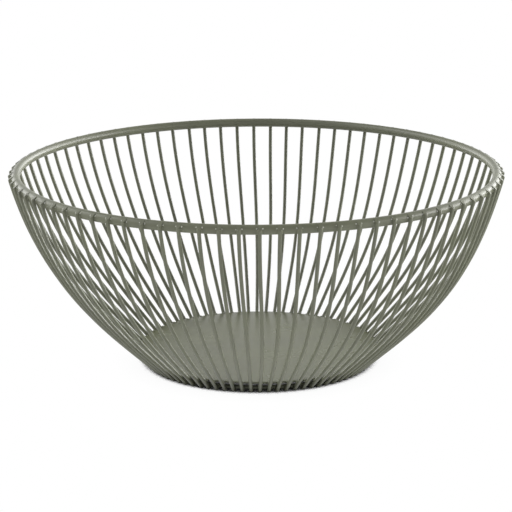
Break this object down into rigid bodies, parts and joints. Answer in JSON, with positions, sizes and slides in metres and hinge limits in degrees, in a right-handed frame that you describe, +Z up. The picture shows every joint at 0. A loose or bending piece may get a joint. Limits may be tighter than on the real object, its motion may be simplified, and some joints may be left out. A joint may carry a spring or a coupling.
{
  "type": "wire basket",
  "caption": "Round open wire basket: curved upright ribs on a heavy rim ring and a light foot ring, with a flat sheet base.",
  "frame": {"origin": "on the table, on the axis of the basket", "axes": "+Z up out of the basket's mouth, -Y towards the side that the picture shows as the front, +X to that view's right"},
  "size_m": [0.3, 0.3, 0.1202],
  "materials": {
    "rim_coating": "satin sage green powder coating over thick round steel wire",
    "rib_coating": "satin sage green powder coating over thin round steel wire",
    "plate_coating": "satin sage green powder coating over flat steel sheet"
  },
  "bodies": {
    "root": {"rim_ring": "rim_coating", "foot_frame": "rib_coating", "base_plate": "plate_coating", "rib_02": "rib_coating", "rib_03": "rib_coating", "rib_05": "rib_coating", "rib_06": "rib_coating", "rib_08": "rib_coating", "rib_09": "rib_coating", "rib_11": "rib_coating", "rib_12": "rib_coating", "rib_14": "rib_coating", "rib_15": "rib_coating", "rib_17": "rib_coating", "rib_18": "rib_coating", "rib_20": "rib_coating", "rib_21": "rib_coating", "rib_23": "rib_coating", "rib_24": "rib_coating", "rib_26": "rib_coating", "rib_27": "rib_coating", "rib_29": "rib_coating", "rib_30": "rib_coating", "rib_32": "rib_coating", "rib_33": "rib_coating", "rib_35": "rib_coating", "rib_36": "rib_coating", "rib_38": "rib_coating", "rib_39": "rib_coating", "rib_41": "rib_coating", "rib_42": "rib_coating", "rib_44": "rib_coating", "rib_45": "rib_coating", "rib_47": "rib_coating", "rib_48": "rib_coating", "rib_50": "rib_coating", "rib_51": "rib_coating", "rib_53": "rib_coating", "rib_54": "rib_coating", "rib_56": "rib_coating", "rib_57": "rib_coating", "rib_59": "rib_coating", "rib_60": "rib_coating", "rib_62": "rib_coating", "rib_63": "rib_coating", "rib_65": "rib_coating", "rib_66": "rib_coating", "rib_68": "rib_coating", "rib_69": "rib_coating", "rib_71": "rib_coating", "rib_72": "rib_coating", "rib_74": "rib_coating", "rib_75": "rib_coating", "rib_77": "rib_coating", "rib_78": "rib_coating", "rib_80": "rib_coating", "rib_81": "rib_coating", "rib_83": "rib_coating", "rib_84": "rib_coating"}
  },
  "joints": []
}
